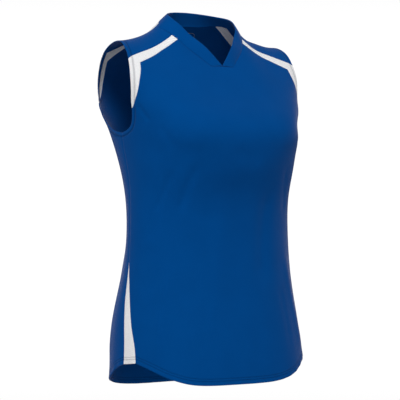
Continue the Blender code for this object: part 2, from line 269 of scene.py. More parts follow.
def smooth(knots, values, places):
    """A natural cubic spline through the knots, read at the places."""
    knots, values = np.asarray(knots, float), np.asarray(values, float)
    places = np.asarray(places, float)
    count, gap = len(knots), np.diff(knots)
    system, right = np.eye(count), np.zeros(count)
    for i in range(1, count - 1):
        system[i, i - 1:i + 2] = gap[i - 1], 2 * (gap[i - 1] + gap[i]), gap[i]
        slopes = (values[i + 1] - values[i]) / gap[i] - (values[i] - values[i - 1]) / gap[i - 1]
        right[i] = 6 * slopes
    bend = np.linalg.solve(system, right)
    i = np.clip(np.searchsorted(knots, places) - 1, 0, count - 2)
    after, before, width = knots[i + 1] - places, places - knots[i], gap[i]
    cubic = (bend[i] * after**3 + bend[i + 1] * before**3) / (6 * width)
    line_a = (values[i] / width - bend[i] * width / 6) * after
    line_b = (values[i + 1] / width - bend[i + 1] * width / 6) * before
    return cubic + line_a + line_b


def curve(text, steps):
    """Points spread evenly along a smooth line through a table's rows."""
    columns = np.stack(list(table(text).values()), 1)
    chord = np.linalg.norm(np.diff(columns, axis=0), axis=1)
    knots = np.concatenate([[0], np.cumsum(chord)]) / chord.sum()
    places = np.linspace(0, 1, steps + 1)
    return np.stack([smooth(knots, columns[:, i], places) for i in range(columns.shape[1])], 1)


RING_COLUMNS, CREST_COLUMNS = table(RINGS), table(CREST)
MOUND_COLUMNS, FOLD_COLUMNS = table(MOUNDS), table(FOLDS)


def ring(around, height):
    """A superellipse: x = a sin^(2/n), y = e +- b cos^(2/n), its sizes splined over height."""
    sizes = [smooth(RING_COLUMNS["height"], RING_COLUMNS[name], height)
             for name in ("half_width", "front", "back", "equator", "round")]
    half_width, front, back, equator, power = sizes
    sine, cosine = np.sin(around), np.cos(around)
    x = half_width * np.sign(sine) * np.abs(sine) ** (2 / power)
    depth = np.where(cosine > 0, equator - front, back - equator)
    y = equator - depth * np.sign(cosine) * np.abs(cosine) ** (2 / power)
    return np.stack([x, y, height + 0 * x], -1)


def form(angle, run):
    """Rings up to the chest, then a Bezier bend from the chest ring to the shoulder crest."""
    angle, run = np.broadcast_arrays(np.asarray(angle, float), np.asarray(run, float))
    front = run < 0
    turn = np.radians(angle)
    around = np.where(front, turn, np.pi - turn)
    height = CREST_RUN - np.abs(run)
    body = ring(around, np.minimum(height, CHEST_HEIGHT))
    base = ring(around, CHEST_HEIGHT + 0 * around)
    above = ring(around, CHEST_HEIGHT + SLOPE_STEP + 0 * around)
    below = ring(around, CHEST_HEIGHT - SLOPE_STEP + 0 * around)
    lean = (above - below) / (2 * SLOPE_STEP)
    chest_half_width = smooth(RING_COLUMNS["height"], RING_COLUMNS["half_width"], CHEST_HEIGHT)
    share = base[..., 0] / chest_half_width
    x = SHOULDER_HALF_WIDTH * share
    right, left = [smooth(CREST_COLUMNS["across"], CREST_COLUMNS[side], np.abs(x))
                   for side in ("right", "left")]
    z = np.where(x < 0, right, left)
    crest = np.stack([x, 0 * x, z], -1)
    out = np.abs(share) ** REACH_POWER
    rise, reach = [np.where(front, before[0] + (before[1] - before[0]) * out,
                            behind[0] + (behind[1] - behind[0]) * out)
                   for before, behind in ((FRONT_RISE, BACK_RISE), (FRONT_REACH, BACK_REACH))]
    rise = rise * (z - CHEST_HEIGHT)
    reach = np.minimum(reach, REACH_LIMIT * np.abs(base[..., 1]))
    low_handle = base + rise[..., None] * lean
    high_handle = crest + np.stack([0 * x, np.where(front, -reach, reach), 0 * x], -1)
    t = np.clip((height - CHEST_HEIGHT) / (CREST_RUN - CHEST_HEIGHT), 0, 1)[..., None]
    bend = ((1 - t) ** 3 * base + 3 * (1 - t) ** 2 * t * low_handle
            + 3 * (1 - t) * t**2 * high_handle + t**3 * crest)
    flare = np.where(front, FRONT_FLARE, BACK_FLARE) * np.sign(share) * share**4
    bend[..., 0] += flare * (4 * t[..., 0] * (1 - t[..., 0])) ** 2
    return np.where((height > CHEST_HEIGHT)[..., None], bend, body)


def relief(angle, run):
    """Sum of Gaussian mounds, and of folds that are Gaussian across and fade at their ends."""
    total = np.zeros(np.broadcast(angle, run).shape)
    for middle, at_run, half_angle, half_run, height in zip(*MOUND_COLUMNS.values()):
        spread = ((angle - middle) / half_angle) ** 2 + ((run - at_run) / half_run) ** 2
        total = total + height * np.exp(-spread)
    for angle_a, run_a, angle_b, run_b, half_width, depth in zip(*FOLD_COLUMNS.values()):
        along = np.array([(angle_b - angle_a) * DEGREE, run_b - run_a])
        dx, dy = (angle - angle_a) * DEGREE, run - run_a
        share = (dx * along[0] + dy * along[1]) / (along @ along)
        aside = (dx * along[1] - dy * along[0]) / np.sqrt(along @ along)
        beyond = np.clip(np.abs(share - 0.5) - FOLD_FULL, 0, None)
        ends = np.exp(-((beyond / FOLD_FADE) ** 2))
        total = total + depth * ends * np.exp(-((aside / half_width) ** 2))
    return total


def slopes(angle, run):
    """The form's change for one degree and for one millimetre of run, by central differences."""
    across = form(angle + NORMAL_STEP, run) - form(angle - NORMAL_STEP, run)
    down = form(angle, run + NORMAL_STEP) - form(angle, run - NORMAL_STEP)
    return across / (2 * NORMAL_STEP), down / (2 * NORMAL_STEP)


def normals(angle, run):
    """Unit normals, the cross product of the two slopes, turned away from the chest's middle."""
    across, down = slopes(angle, run)
    normal = np.cross(across, down)
    normal /= np.linalg.norm(normal, axis=-1, keepdims=True)
    away = form(angle, run) - np.array([0.0, 0.0, CHEST_HEIGHT])
    away[..., 2] = np.maximum(away[..., 2], 0)
    return normal * np.sign((normal * away).sum(-1, keepdims=True))


def cloth(angle, run):
    """The cloth's outer face: the form raised by its relief."""
    return form(angle, run) + relief(angle, run)[..., None] * normals(angle, run)


def close_ends(line):
    """Adds points close to both ends of a line, by straight shares of its first and last step."""
    last = len(line) - 1
    ends = np.array(EDGE_STEPS)
    places = np.concatenate([[0], ends, np.arange(1, last), last - ends[::-1], [last]])
    whole = np.arange(last + 1)
    return np.stack([np.interp(places, whole, line[:, i]) for i in range(line.shape[1])], 1)


def coons(bottom, top, left, right):
    """Coons patch: the two ruled surfaces between opposite edges, less the corners' bilinear."""
    u, v = [close_ends(np.linspace(0, 1, len(edge))[:, None]) for edge in (bottom, left)]
    u, v = u[:, :, None], v[None]
    bottom, top, left, right = [close_ends(edge) for edge in (bottom, top, left, right)]
    ruled_up = (1 - v) * bottom[:, None] + v * top[:, None]
    ruled_across = (1 - u) * left[None] + u * right[None]
    corners = ((1 - u) * (1 - v) * bottom[0] + u * (1 - v) * bottom[-1]
               + (1 - u) * v * top[0] + u * v * top[-1])
    return ruled_up + ruled_across - corners


def join(*curves):
    """Curves end to end, each starting where the last one stops."""
    return np.concatenate([curves[0]] + [points[1:] for points in curves[1:]])


def mirrored(points):
    """The same points on the wearer's right, in the opposite order."""
    return points[::-1] * np.array([-1, 1])


def armhole_lines(text, inner, top):
    """The armhole edge from the side seam up, split where the insert's tip and corner meet it."""
    fine = curve(text, FINE_STEPS)
    tip = np.argmin(np.linalg.norm(fine - inner[-1], axis=1))
    corner = np.argmin(np.linalg.norm(fine - top[-1], axis=1))
    inner[-1], top[-1] = fine[tip], fine[corner]
    under = np.linspace(0, tip, STEPS["armhole"] + 1).round().astype(int)
    beside = np.linspace(tip + INSERT_TIP, corner, STEPS["drop"] + 1).round().astype(int)
    over = np.linspace(corner, FINE_STEPS, STEPS["crest"] // 2 + 1).round().astype(int)
    return fine[under], fine[beside], fine[over]


def distance_to(points, line):
    """Distance from each point to the nearest point of a line."""
    flat = points.reshape(-1, 3)
    squared = (flat**2).sum(1)[:, None] + (line**2).sum(1)[None] - 2 * flat @ line.T
    return np.sqrt(np.maximum(squared.min(1), 0)).reshape(points.shape[:-1])


def dense(line, count=800):
    """A line of places on the cloth as many points in space."""
    steps = np.arange(len(line))
    places = np.linspace(0, len(line) - 1, count)
    return cloth(*[np.interp(places, steps, line[:, i]) for i in range(2)])


def closed_mesh(name, points, faces, finish, fields=None):
    """A mesh object from points and lists of corners, smooth but for its sharp rims."""
    mesh = bpy.data.meshes.new(name)
    mesh.from_pydata((points * METRE).tolist(), [], faces)
    for field, values in (fields or {}).items():
        attribute = mesh.attributes.new(field, "FLOAT", "POINT")
        attribute.data.foreach_set("value", values.astype(np.float32).ravel())
    mesh.polygons.foreach_set("use_smooth", np.ones(len(mesh.polygons), bool))
    mesh.set_sharp_from_angle(angle=np.radians(RIM_ANGLE))
    mesh.materials.append(finish)
    mesh.update()
    piece = bpy.data.objects.new(name, mesh)
    bpy.context.scene.collection.objects.link(piece)
    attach(piece, "root")
    return piece


def shell(name, outer, inner, finish, fields):
    """Two matching grids joined round their rim into one thin closed sheet."""
    columns, rows = outer.shape[:2]
    count = columns * rows
    index = np.arange(count).reshape(columns, rows)
    quads = np.stack([index[:-1, :-1], index[1:, :-1], index[1:, 1:], index[:-1, 1:]], -1)
    quads = quads.reshape(-1, 4)
    rim = np.concatenate([index[:-1, 0], index[-1, :-1], index[:0:-1, -1], index[0, :0:-1]])
    ahead = np.roll(rim, -1)
    sides = np.stack([ahead, rim, rim + count, ahead + count], -1)
    faces = np.concatenate([quads, quads[:, ::-1] + count, sides])
    middle = columns // 2, rows // 2
    across = outer[middle[0] + 1, middle[1]] - outer[middle]
    along = outer[middle[0], middle[1] + 1] - outer[middle]
    if np.cross(across, along) @ (outer[middle] - inner[middle]) < 0:
        faces = faces[:, ::-1]
    points = np.concatenate([outer.reshape(-1, 3), inner.reshape(-1, 3)])
    twice = {field: np.tile(values.ravel(), 2) for field, values in fields.items()}
    return closed_mesh(name, points, faces.tolist(), finish, twice)


def panel(name, grid, seams, hem=None, armholes=(), finish=None, thickness=CLOTH):
    """A sewn panel: the cloth over its grid, rolled in at its seams, rounded and doubled at its
    free edges. Distances to the edges go with it for the material."""
    angle, run = grid[..., 0], grid[..., 1]
    normal = normals(angle, run)
    outer = cloth(angle, run)
    seam = np.min([distance_to(outer, dense(line)) for line in seams], axis=0)
    from_hem = distance_to(outer, dense(hem)) if hem is not None else 0 * seam + FAR
    from_armhole = 0 * seam + FAR
    for line in armholes:
        from_armhole = np.minimum(from_armhole, distance_to(outer, dense(line)))
    free = np.minimum(from_hem, from_armhole)
    dip = SEAM_DIP * np.exp(-((seam / SEAM_SOFT) ** 2)) + EDGE_DIP * np.exp(-((free / EDGE_SOFT) ** 2))
    flutter = HEM_WAVE * np.sin(2 * np.pi * angle * DEGREE / HEM_WAVE_LENGTH)
    flutter = flutter * np.exp(-((from_hem / HEM_WAVE_SOFT) ** 2))
    outer = outer + (flutter - dip)[..., None] * normal
    turned = 1 / (1 + np.exp((from_hem - TURNING_WIDTH) / TURNING_EASE))
    inner = outer - (thickness + TURNING * turned)[..., None] * normal
    fields = {"across": angle * DEGREE, "along": np.abs(run), "seam": seam,
              "hem": from_hem, "armhole": from_armhole}
    return shell(name, outer, inner, finish, fields)


class Value:
    """A number worked out in the shader. Arithmetic on it adds Math nodes."""

    def __init__(self, finish, socket):
        self.finish, self.socket = finish, socket

    def math(self, operation, *others):
        return self.finish.node("ShaderNodeMath", {"operation": operation}, [self, *others])

    def __add__(self, other):
        return self.math("ADD", other)

    def __sub__(self, other):
        return self.math("SUBTRACT", other)

    def __mul__(self, other):
        return self.math("MULTIPLY", other)

    def __truediv__(self, other):
        return self.math("DIVIDE", other)

    def __rsub__(self, other):
        return self.finish.node("ShaderNodeMath", {"operation": "SUBTRACT"}, [other, self])

    __radd__, __rmul__ = __add__, __mul__

    def bell(self, middle, half_width):
        """1 at the middle, fading as a Gaussian to both sides."""
        away = (self - middle) / half_width
        return (away * away * -1.0).math("EXPONENT")


class Finish:
    """A material in the making."""

    def __init__(self, name, constants):
        self.material = bpy.data.materials.new(name)
        self.material.use_nodes = True
        self.tree = self.material.node_tree
        self.shader = self.tree.nodes["Principled BSDF"]
        for socket, value in constants.items():
            self.shader.inputs[socket].default_value = value

    def put(self, socket, value):
        """Links a worked-out value to a socket, or sets a plain one."""
        if isinstance(value, Value):
            self.tree.links.new(value.socket, socket)
        else:
            socket.default_value = value

    def node(self, kind, settings, inputs, output=0):
        """Adds a node: its settings first, then its sockets, by place or by name."""
        node = self.tree.nodes.new(kind)
        for setting, value in settings.items():
            setattr(node, setting, value)
        pairs = inputs.items() if isinstance(inputs, dict) else enumerate(inputs)
        for place, value in pairs:
            self.put(node.inputs[place], value)
        return Value(self, node.outputs[output])

    def field(self, name):
        """One of the piece's own attributes."""
        return self.node("ShaderNodeAttribute", {"attribute_name": name}, {}, "Fac")

    def place(self):
        """Object coordinates, in metres."""
        return self.node("ShaderNodeTexCoord", {}, {}, "Object")

    def noise(self, scale, detail=2.0):
        """Soft noise from 0 to 1 over the object."""
        inputs = {"Vector": self.place(), "Scale": scale, "Detail": detail}
        return self.node("ShaderNodeTexNoise", {}, inputs, 0)

    def mix(self, share, low, high):
        """A colour between two."""
        settings = {"data_type": "RGBA"}
        return self.node("ShaderNodeMix", settings, {0: share, 6: low, 7: high}, 2)

    def shade(self, socket, value):
        """Feeds one of the shader's sockets."""
        self.put(self.shader.inputs[socket], value)

    def bump(self, height, distance):
        """Raises the surface by a height from 0 to 1 times a distance in metres."""
        inputs = {"Strength": 1.0, "Distance": distance, "Height": height}
        self.shade("Normal", self.node("ShaderNodeBump", {}, inputs))


BLUE, BLUE_DEEP = (0.0006, 0.064, 0.262, 1), (0.0006, 0.057, 0.236, 1)
# The third blue is painted shade: seams and the troughs of stitched rows are darkened towards it.
BLUE_PAINTED_SHADE = (0.0003, 0.025, 0.104, 1)  # in a seam or under a stitch
BLUE_SHEEN = {"Roughness": 0.8, "Sheen Weight": 0.25, "Sheen Roughness": 0.3,
              "Sheen Tint": (0.9, 0.85, 1.0, 1), "Specular IOR Level": 0.0}
TONE_SCALE = 26.0  # noise cells to a metre, for the dye's slight unevenness
WALE, COURSE = 0.9, 0.7  # one knit stitch across and down
V_SLANT = 0.5  # each V stitch rises by this share of a course
KNIT_DEPTH = 0.00006
STITCH_ROWS_HEM = (7.0, 11.0)  # distances of the twin row from the hem
STITCH_ROW_ARMHOLE = 7.0
ROW_HALF_WIDTH = 0.9  # of the trough that a stitched row pulls into the cloth
# The armhole's groove is also painted that many times darker, as its shade.
GROOVE_HALF_WIDTH, GROOVE_DEPTH = 1.6, 1.5  # the armhole's is wider and as many times deeper
ROW_DEPTH = 0.0005
# Width and darkness of the shade painted into the colour along every seam.
SEAM_PAINTED_SHADE_WIDTH, SEAM_PAINTED_SHADE = 0.8, 0.15
# The trough's darkness below is shade painted into the colour.
ROW_PAINTED_SHADE = 0.35  # how dark the trough of a stitched row is
PI = float(np.pi)


def edge_marks(finish):
    """Troughs of the stitched rows, and the seams, as shares from 0 to 1: both are painted into the
    colour as shade, and the rows also sink the surface.
    """
    hem, armhole = finish.field("hem"), finish.field("armhole")
    rows = armhole.bell(STITCH_ROW_ARMHOLE, GROOVE_HALF_WIDTH) * GROOVE_DEPTH
    for row in STITCH_ROWS_HEM:
        rows = rows + hem.bell(row, ROW_HALF_WIDTH)
    return rows, finish.field("seam").bell(0.0, SEAM_PAINTED_SHADE_WIDTH)


def blue_knit():
    """Smooth royal-blue jersey: fine columns of V stitches, a faint unevenness and a sheen."""
    finish = Finish("blue_knit", BLUE_SHEEN)
    across, along = finish.field("across"), finish.field("along")
    column = (across * (PI / WALE)).math("SINE").math("ABSOLUTE")
    stitch = ((along / COURSE + column * V_SLANT) * PI).math("SINE").math("ABSOLUTE")
    rows, seam = edge_marks(finish)
    tone = finish.mix(finish.noise(TONE_SCALE), BLUE_DEEP, BLUE)
    # Painted shade: the colour darkens towards the third blue in the seams and in the stitched rows'
    # troughs.
    shade = (seam * SEAM_PAINTED_SHADE + rows * ROW_PAINTED_SHADE).math("MINIMUM", 1.0)
    finish.shade("Base Color", finish.mix(shade, tone, BLUE_PAINTED_SHADE))
    height = column * stitch * (KNIT_DEPTH / ROW_DEPTH) - rows
    finish.bump(height, ROW_DEPTH)
    return finish.material


BLUE_KNIT = blue_knit()
down = np.array([1, -1])
v_corner = np.array([table(COLLAR_SEAM_FRONT)[name][0] for name in ("angle", "run")])
v_base = np.linspace([0, V_BASE_RUN], v_corner, STEPS["v_base"] + 1)
collar_front = curve(COLLAR_SEAM_FRONT, STEPS["collar_front"])
front_top = curve(INSERT_FRONT_TOP, STEPS["insert"])
front_lower = curve(INSERT_FRONT_LOWER, STEPS["insert"])
front_inner = curve(INSERT_FRONT_INNER, STEPS["drop"])
front_under, front_beside, front_over = armhole_lines(ARMHOLE_FRONT, front_inner, front_top)
side_front = curve(SIDE_SEAM, STEPS["side"]) * down
godet_front = curve(GODET_FRONT, STEPS["godet"]) * down

front_edge_top = join(v_base, collar_front, front_lower)
front_edge_left = join(godet_front[::-1], side_front[::-1], front_under, front_inner[::-1])
hem_angles = front_edge_top[:, 0] * godet_front[-1, 0] / front_edge_top[-1, 0]


def hem_points(text, column, angles, way):
    """The hem at the given angles, its run read from the table."""
    columns = table(text)
    return np.stack([angles, smooth(columns["angle"], columns[column], angles) * way], 1)


front_hem = join(mirrored(hem_points(HEM_FRONT, "right", hem_angles, -1)),
                 hem_points(HEM_FRONT, "left", hem_angles, -1))
front_edge_right = front_edge_left * np.array([-1, 1])
front_edge_right[0], front_edge_left[0] = front_hem[0], front_hem[-1]
front_grid = coons(front_hem, join(mirrored(front_edge_top), front_edge_top),
                   front_edge_right, front_edge_left)
half_seams = [v_base, collar_front, front_lower, front_inner, side_front, godet_front]
front_seams = half_seams + [mirrored(line) for line in half_seams]
front_panel = panel("front_panel_cloth", front_grid, front_seams, hem=front_hem,
                    armholes=[front_under, mirrored(front_under)], finish=BLUE_KNIT)
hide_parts("front_panel")


# ---- Back panel ----------------------------------------------------------------------------
# The same jersey in one piece behind, from the back inserts and collar down to a rounded tail
# that hangs a little lower than the front, with the same turned and twin-stitched hem.

INSERT_BACK_TOP = """
angle run
16.0   14
21.0   15
26.0   19.5
32.0   28
38.5   37.5
48.0   50.5
57.0   59
"""
INSERT_BACK_LOWER = """
angle run
11.4   35.5
16.0   35.5
21.0   36.7
27.0   42
35.0   55
44.6   76.4
"""
INSERT_BACK_INNER = """
angle run
44.6   76.4
43.6   90
42.8   105
44.0   120
49.0   139
58.5   152
"""
COLLAR_SEAM_BACK = """
angle run
11.4   35.5
 8.0   44.5
 4.0   52.5
 0.0   55.5
"""
GODET_BACK = """
angle run
93.4  430
92.0  470
90.0  504
88.5  529
87.5  563
88.0  604
"""
HEM_BACK = """
angle run
 0    655.5
15    655
30    652
42    647.5
53    641.5
63    636
72    628.5
81    616.5
92    604
"""

turned_back = np.array([-1, 1])
half_turn = np.array([180.0, 0.0])
collar_back = curve(COLLAR_SEAM_BACK, STEPS["collar_back"])
back_top = curve(INSERT_BACK_TOP, STEPS["insert"])
back_lower = curve(INSERT_BACK_LOWER, STEPS["insert"])
back_inner = curve(INSERT_BACK_INNER, STEPS["drop"])
back_under, back_beside, back_over = armhole_lines(ARMHOLE_BACK, back_inner, back_top)
side_back = curve(SIDE_SEAM, STEPS["side"]) * turned_back + half_turn
godet_back = curve(GODET_BACK, STEPS["godet"]) * turned_back + half_turn

back_edge_top = join(collar_back[::-1], back_lower)
back_edge_left = join(godet_back[::-1], side_back[::-1], back_under, back_inner[::-1])
tail_angles = back_edge_top[:, 0] * godet_back[-1, 0] / back_edge_top[-1, 0]
half_tail = hem_points(HEM_BACK, "run", tail_angles, 1)
back_hem = join(mirrored(half_tail), half_tail)
back_edge_right = back_edge_left * turned_back
back_edge_right[0], back_edge_left[0] = back_hem[0], back_hem[-1]
back_grid = coons(back_hem, join(mirrored(back_edge_top), back_edge_top),
                  back_edge_right, back_edge_left)
half_seams = [collar_back, back_lower, back_inner, side_back, godet_back]
back_seams = half_seams + [mirrored(line) for line in half_seams]
back_panel = panel("back_panel_cloth", back_grid, back_seams, hem=back_hem,
                   armholes=[back_under, mirrored(back_under)], finish=BLUE_KNIT)
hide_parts("back_panel")


# ---- Shoulder yokes ------------------------------------------------------------------------
# A blue saddle over each shoulder, one piece from the front insert to the back insert, which
# carries the shirt on the wearer.

COLLAR_SEAM_CREST = """
angle run
15.2  -54.3
18.3  -30
18.8    0
16.0   14
"""
collar_crest = curve(COLLAR_SEAM_CREST, STEPS["crest"])
armhole_over = join(front_over, back_over[::-1])
yoke_grid = coons(front_top, back_top, collar_crest, armhole_over)
to_side = {"left": np.array([1, 1]), "right": np.array([-1, 1])}
for side, way in to_side.items():
    seams = [line * way for line in (front_top, back_top, collar_crest)]
    panel(f"yoke_{side}_cloth", yoke_grid * way, seams,
                        armholes=[armhole_over * way], finish=BLUE_KNIT)
    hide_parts(f"yoke_{side}")


# ---- White shoulder inserts ----------------------------------------------------------------
# Angled strips of white micro-mesh, one in front of and one behind each yoke: from the collar
# seam out to the armhole, then down the armhole to a point.

# The second white is both the colour in the mesh's holes and the painted shade in its seams and
# stitched rows' troughs.
WHITE, WHITE_HOLE_AND_PAINTED_SHADE = (0.90, 0.90, 0.91, 1), (0.30, 0.31, 0.34, 1)
WHITE_SHEEN = {"Roughness": 0.75, "Sheen Weight": 0.2, "Sheen Roughness": 0.5,
               "Specular IOR Level": 0.25}
MESH_PITCH = 3.4  # between the mesh's tiny holes
HOLE_SIZE = 0.40  # share of a cell
HOLE_SHADE = 0.95
MESH_DEPTH = 0.00014


def white_mesh():
    """White warp knit with tiny holes in slanting rows, staggered from row to row."""
    finish = Finish("white_mesh", WHITE_SHEEN)
    across, along = finish.field("across"), finish.field("along")
    one = ((across + along) * (PI / MESH_PITCH)).math("SINE")
    other = ((across - along) * (PI / MESH_PITCH)).math("SINE")
    hole = (one * other).math("ABSOLUTE").math("SUBTRACT", 1 - HOLE_SIZE)
    hole = (hole / HOLE_SIZE).math("MAXIMUM", 0.0)
    rows, seam = edge_marks(finish)
    # The holes are the mesh's own pattern; the seams and the rows' troughs are painted shade.
    shade = (hole * HOLE_SHADE + seam * SEAM_PAINTED_SHADE + rows * ROW_PAINTED_SHADE).math("MINIMUM", 1.0)
    finish.shade("Base Color", finish.mix(shade, WHITE, WHITE_HOLE_AND_PAINTED_SHADE))
    finish.bump(hole * (-MESH_DEPTH / ROW_DEPTH) - rows, ROW_DEPTH)
    return finish.material


WHITE_MESH = white_mesh()
insert_parts = {
    "front": (front_lower, front_inner, front_top, front_beside, collar_front, collar_crest),
    "back": (back_lower, back_inner, back_top, back_beside, collar_back, collar_crest[::-1]),
}
inserts, insert_ends = {}, {}
for place, (lower, inner, top, beside, collar_lower, collar_upper) in insert_parts.items():
    start = collar_lower[-1] if place == "front" else collar_lower[0]
    end = np.linspace(start, collar_upper[0], STEPS["insert_end"] + 1)
    insert_ends[place] = end
    outer_edge, inner_edge = join(top, beside[::-1]), join(lower, inner)
    tip = np.linspace(inner_edge[-1], outer_edge[-1], STEPS["insert_end"] + 1)
    grid = coons(inner_edge, outer_edge, end, tip)
    for side, way in to_side.items():
        seams = [line * way for line in (lower, inner, top, end)]
        piece = panel(f"shoulder_insert_{place}_{side}_cloth", grid * way, seams,
                      armholes=[beside * way], finish=WHITE_MESH)
        inserts[place, side] = piece
        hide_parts(f"shoulder_insert_{place}_{side}")


# ---- White side inserts --------------------------------------------------------------------
# A long white triangle of the same mesh, let into the lower end of each side seam so that the
# hem can spread over the hips.

GODET_TIP = 0.3  # the godet starts at this share of its first step

godet_edges = [curve(text, STEPS["godet"]) for text in (GODET_FRONT, GODET_BACK)]
for edge in godet_edges:
    edge[0] += GODET_TIP * (edge[1] - edge[0])
godet_edges = [edge * down for edge in godet_edges]
godet_head = np.linspace(godet_edges[0][0], godet_edges[1][0], STEPS["godet_width"] + 1)
godet_hem = np.linspace(godet_edges[0][-1], godet_edges[1][-1], STEPS["godet_width"] + 1)
godet_grid = coons(godet_edges[0], godet_edges[1], godet_head, godet_hem)
for side, way in to_side.items():
    piece = panel(f"side_insert_{side}_cloth", godet_grid * way,
                  [edge * way for edge in godet_edges], hem=godet_hem * way, finish=WHITE_MESH)
    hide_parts(f"side_insert_{side}")


# ---- Collar --------------------------------------------------------------------------------
# A doubled band of the blue jersey round the V neck, folded at its upper edge. Its two front
# ends are cut flat and sewn side by side into the short level seam under the V.

# The neck edge, from the V point round to the middle of the back.
NECK_EDGE = """
across forward height
 0     -79.2   -57.8
12.5   -74.6   -43
35     -61     -17
48     -48      -3
59     -37.5    12
64.7   -25      22.5
66     -11      31
58       9      37.2
45      22.5    40.8
25      33      43.8
 0      36.5    45
"""
BAND_THICKNESS = 2.0
BAND_BULGE = 0.4  # how far the band rounds out between seam and neck edge
BAND_SHIFT = 0.43  # how far the cross lines lean, because the ends are cut flat
BAND_ROWS, FOLD_ROWS = 14, 6
BAND_DIP, BAND_DIP_WIDTH = 0.4, 0.06  # the band rolls in at its seam
BAND_END_FADE = 9.0  # and lies flat towards its two front ends


def band_lines():
    """The seam on the shirt and the neck edge, matched point to point, all round the neck."""
    seam = join(collar_front, insert_ends["front"], collar_crest,
                insert_ends["back"][::-1], collar_back)
    low = form(seam[:, 0], seam[:, 1])
    chord = np.linalg.norm(np.diff(low, axis=0), axis=1)
    share = np.concatenate([[0], np.cumsum(chord)]) / chord.sum()
    share = share + BAND_SHIFT * share * (1 - share)
    fine = curve(NECK_EDGE, FINE_STEPS)
    steps = np.arange(FINE_STEPS + 1)
    high = np.stack([np.interp(share * FINE_STEPS, steps, fine[:, i]) for i in range(3)], 1)
    across = np.array([-1, 1, 1])
    low = np.concatenate([low, low[-2::-1] * across])
    return low, np.concatenate([high, high[-2::-1] * across])


def collar_cloth():
    """A flattened loop carried round the neck: up the outside by a sine bulge, over the fold in
    a half circle, and down the inside, one wall apart."""
    low, high = band_lines()
    up = high - low
    width = np.linalg.norm(up, axis=1, keepdims=True)
    up = up / width
    along = np.gradient(low + high, axis=0)
    normal = np.cross(along, up)
    normal /= np.linalg.norm(normal, axis=1, keepdims=True)
    middle = (low + high).mean(axis=0) / 2
    normal *= np.sign((((low + high) / 2 - middle) * normal).sum())
    half = BAND_THICKNESS / 2
    share = np.linspace(0, 1, BAND_ROWS + 1)
    arch = BAND_BULGE * np.sin(PI * share) - BAND_DIP * np.exp(-((share / BAND_DIP_WIDTH) ** 2))
    turn = np.linspace(0, PI, FOLD_ROWS + 1)
    reach = width - half
    chord = np.linalg.norm(np.diff(low, axis=0), axis=1)
    gone = np.concatenate([[0], np.cumsum(chord)])[:, None]
    flat_end = 1 - np.exp(-((np.minimum(gone, gone[-1] - gone) / BAND_END_FADE) ** 2))
    outside = [(reach * s, a * flat_end) for s, a in zip(share, arch)]
    fold = [(reach + half * np.sin(t), half * np.cos(t) - half) for t in turn[1:-1]]
    inside = [(reach * s, a * flat_end - BAND_THICKNESS) for s, a in zip(share[::-1], arch[::-1])]
    loop = outside + fold + inside
    points = np.stack([low + rise * up + lift * normal for rise, lift in loop], 1)
    rise = np.stack([np.broadcast_to(r, width.shape)[:, 0] for r, _ in loop], 1)
    return points, {"across": rise, "along": gone + 0 * rise, "seam": np.abs(rise),
                    "hem": 0 * rise + FAR, "armhole": 0 * rise + FAR}


def tube(name, points, finish, fields=None, ring_shut=False):
    """Closes a grid of cross-section loops into a tube, with its ends capped or joined."""
    count, around = points.shape[:2]
    index = np.arange(count * around).reshape(count, around)
    near, far = (index, np.roll(index, -1, axis=0)) if ring_shut else (index[:-1], index[1:])
    near_ahead, far_ahead = np.roll(near, -1, axis=1), np.roll(far, -1, axis=1)
    quads = np.stack([near, far, far_ahead, near_ahead], -1).reshape(-1, 4)
    faces = quads.tolist()
    if not ring_shut:
        faces += [index[0].tolist(), index[-1, ::-1].tolist()]
    flat = points.reshape(-1, 3)
    a, b, c = (flat[quads[:, i]] for i in range(3))
    centre = points.mean(axis=1, keepdims=True) + 0 * points
    outward = (np.cross(b - a, c - a) * (a - centre.reshape(-1, 3)[quads[:, 0]])).sum()
    if outward < 0:
        faces = [face[::-1] for face in faces]
    return closed_mesh(name, flat, faces, finish, fields)


collar_points, collar_fields = collar_cloth()
collar = tube("collar_cloth", collar_points, BLUE_KNIT, collar_fields)
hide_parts("collar")


# ---- Armhole facings -----------------------------------------------------------------------
# A narrow strip of the blue jersey sewn all round the inside of each armhole, under the row of
# stitching, so that the edge is clean and does not stretch.

FACING_HALF_WIDTH, FACING_HALF_HEIGHT = 4.2, 0.45
SHIRT_MIDDLE = np.array([0.0, 0.0, -300.0])
RAIL_SIDES = 12  # points round a strip's cross-section


def frame_along(points, angle, run):
    """At each point of a path on the cloth: along it, off the cloth, and across towards the
    shirt's middle, as unit vectors."""
    along = np.gradient(points, axis=0)
    along /= np.linalg.norm(along, axis=1, keepdims=True)
    off = normals(angle, run)
    across = np.cross(off, along)
    across /= np.linalg.norm(across, axis=1, keepdims=True)
    across *= np.sign(((SHIRT_MIDDLE - points) * across).sum())
    return along, off, across


def beside(line, distance):
    """The line moved over the cloth towards the shirt's middle: the change of angle and run
    that best gives that way, by least squares on the form's two slopes."""
    angle, run = line.T
    _, _, across = frame_along(cloth(angle, run), angle, run)
    per_degree, per_run = slopes(angle, run)
    aa, bb = (per_degree**2).sum(1), (per_run**2).sum(1)
    ab = (per_degree * per_run).sum(1)
    want_a = (per_degree * across).sum(1) * distance
    want_b = (per_run * across).sum(1) * distance
    spread = aa * bb - ab**2
    change = np.stack([want_a * bb - want_b * ab, want_b * aa - want_a * ab], 1)
    return line + change / spread[:, None]


